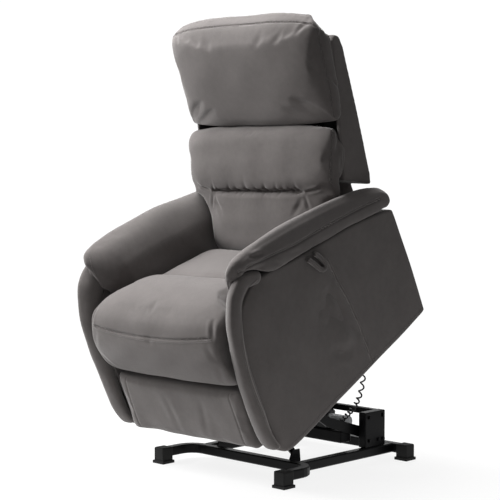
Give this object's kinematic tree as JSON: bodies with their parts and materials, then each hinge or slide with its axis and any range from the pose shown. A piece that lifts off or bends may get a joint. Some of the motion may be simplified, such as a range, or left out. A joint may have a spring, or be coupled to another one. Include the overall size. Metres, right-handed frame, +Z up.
{
  "type": "lift recliner chair",
  "caption": "Upholstered powered riser recliner armchair on a steel lift base, shown raised and tipped forward, with reclining back and fold-out footrest",
  "frame": {"origin": "centre of the base's footprint at floor level", "axes": "+Z up, the chair faces -Y, +X is the sitter's left"},
  "size_m": [0.7105, 0.9121, 1.4394],
  "materials": {
    "upholstery": "dark warm grey napped microfibre",
    "black_steel": "satin black powder coat",
    "zinc_steel": "zinc plated",
    "grey_metal": "light grey painted",
    "black_plastic": "fine grained black",
    "button_plastic": "grey, smooth",
    "foot_rubber": "matt black",
    "plywood": "raw plywood"
  },
  "bodies": {
    "base": {"base_front_tube": "black_steel", "base_side_rail_left": "black_steel", "base_side_rail_right": "black_steel", "base_rear_tube": "black_steel", "foot_front_left": "foot_rubber", "foot_front_right": "foot_rubber", "foot_rear_left": "foot_rubber", "foot_rear_right": "foot_rubber", "upright_left": "black_steel", "upright_right": "black_steel", "upright_cross_bar": "black_steel"},
    "lift_arms": {"lift_arm_left": "black_steel", "lift_arm_right": "black_steel", "lift_cross_tube": "black_steel", "control_box": "black_plastic", "cord_plug": "black_plastic"},
    "guide_links": {"guide_links": "black_steel"},
    "actuator_body": {"actuator_tail": "grey_metal", "actuator_gearbox": "black_plastic", "actuator_motor": "grey_metal", "actuator_outer_tube": "grey_metal"},
    "actuator_rod": {"actuator_rod": "zinc_steel"},
    "chair": {"seat_side_rail_left": "black_steel", "seat_side_rail_right": "black_steel", "seat_front_rail": "black_steel", "seat_hinge_rail": "black_steel", "seat_rear_rail": "plywood", "lift_bracket_left": "black_steel", "lift_bracket_right": "black_steel", "actuator_mount": "black_steel", "seat_springs": "zinc_steel", "side_board_left": "plywood", "side_board_right": "plywood", "side_cover_left": "upholstery", "side_cover_right": "upholstery", "front_roll_left": "upholstery", "front_roll_right": "upholstery", "arm_pad_left": "upholstery", "arm_pad_right": "upholstery", "inner_arm_pad_left": "upholstery", "inner_arm_pad_right": "upholstery", "rear_panel": "upholstery", "seat_cushion": "upholstery", "hand_control": "black_plastic", "cord_grommet": "foot_rubber", "curly_cord": "black_plastic"},
    "pull_loop": {"pull_loop": "upholstery"},
    "raise_button": {"raise_button": "button_plastic"},
    "lower_button": {"lower_button": "button_plastic"},
    "backrest": {"back_shell": "upholstery", "back_frame": "black_steel", "headrest_cushion": "upholstery", "lumbar_upper_cushion": "upholstery", "lumbar_lower_cushion": "upholstery"},
    "footrest_crank": {"footrest_crank_left": "zinc_steel", "footrest_crank_right": "zinc_steel"},
    "footrest_link": {"footrest_link_left": "zinc_steel", "footrest_link_right": "zinc_steel"},
    "footrest_panel": {"footrest_board": "plywood", "footrest_cushion": "upholstery"}
  },
  "joints": [
    {"name": "lift", "type": "hinge", "parent": "base", "child": "lift_arms", "pos_m": [-0.0032, 0.314, 0.095], "axis": [1, 0, 0], "range_deg": [0, 28.9]},
    {"name": "chair_pivot", "type": "hinge", "parent": "lift_arms", "child": "chair", "pos_m": [-0.0032, -0.03932, 0.2619], "axis": [1, 0, 0], "range_deg": [-58.9, 0], "deforming": ["curly_cord"]},
    {"name": "guide_pivot", "type": "hinge", "parent": "base", "child": "guide_links", "pos_m": [-0.0032, 0.014, 0.065], "axis": [1, 0, 0], "range_deg": [0, 48.75]},
    {"name": "actuator_pivot", "type": "hinge", "parent": "base", "child": "actuator_body", "pos_m": [-0.0032, 0.404, 0.1], "axis": [1, 0, 0], "range_deg": [0, 25.2]},
    {"name": "actuator_stroke", "type": "slide", "parent": "actuator_body", "child": "actuator_rod", "axis": [0, -0.8657, 0.5005], "range_m": [-0.0645, 0]},
    {"name": "recline", "type": "hinge", "parent": "chair", "child": "backrest", "pos_m": [-0.0032, 0.11319, 0.59775], "axis": [-1, 0, 0], "range_deg": [0, 30]},
    {"name": "footrest", "type": "hinge", "parent": "chair", "child": "footrest_crank", "pos_m": [-0.0032, -0.1909, 0.36445], "axis": [-1, 0, 0], "range_deg": [0, 155]},
    {"name": "footrest_knee", "type": "hinge", "parent": "footrest_crank", "child": "footrest_link", "pos_m": [-0.0032, -0.04973, 0.41593], "axis": [-1, 0, 0], "range_deg": [-128.4, 0]},
    {"name": "footrest_tilt", "type": "hinge", "parent": "footrest_link", "child": "footrest_panel", "pos_m": [-0.0032, -0.2425, 0.25382], "axis": [-1, 0, 0], "range_deg": [0, 63.3]},
    {"name": "pull_loop_swing", "type": "hinge", "parent": "chair", "child": "pull_loop", "pos_m": [0.3493, -0.10513, 0.71188], "axis": [0, -0.866, -0.5], "range_deg": [0, 60]},
    {"name": "raise_press", "type": "slide", "parent": "chair", "child": "raise_button", "axis": [-1, 0, 0], "range_m": [0, 0.0014], "stiffness_N_per_m": 400},
    {"name": "lower_press", "type": "slide", "parent": "chair", "child": "lower_button", "axis": [-1, 0, 0], "range_m": [0, 0.0014], "stiffness_N_per_m": 400}
  ],
  "couplings": [
    {"joint": "chair_pivot", "follows": "lift", "ratio": -2.0381},
    {"joint": "guide_pivot", "follows": "lift", "ratio": 1.6868},
    {"joint": "actuator_pivot", "follows": "lift", "ratio": 0.87093},
    {"joint": "actuator_stroke", "follows": "lift", "m_per_rad": -0.12728},
    {"joint": "footrest_knee", "follows": "footrest", "ratio": -0.828},
    {"joint": "footrest_tilt", "follows": "footrest", "ratio": 0.408}
  ]
}
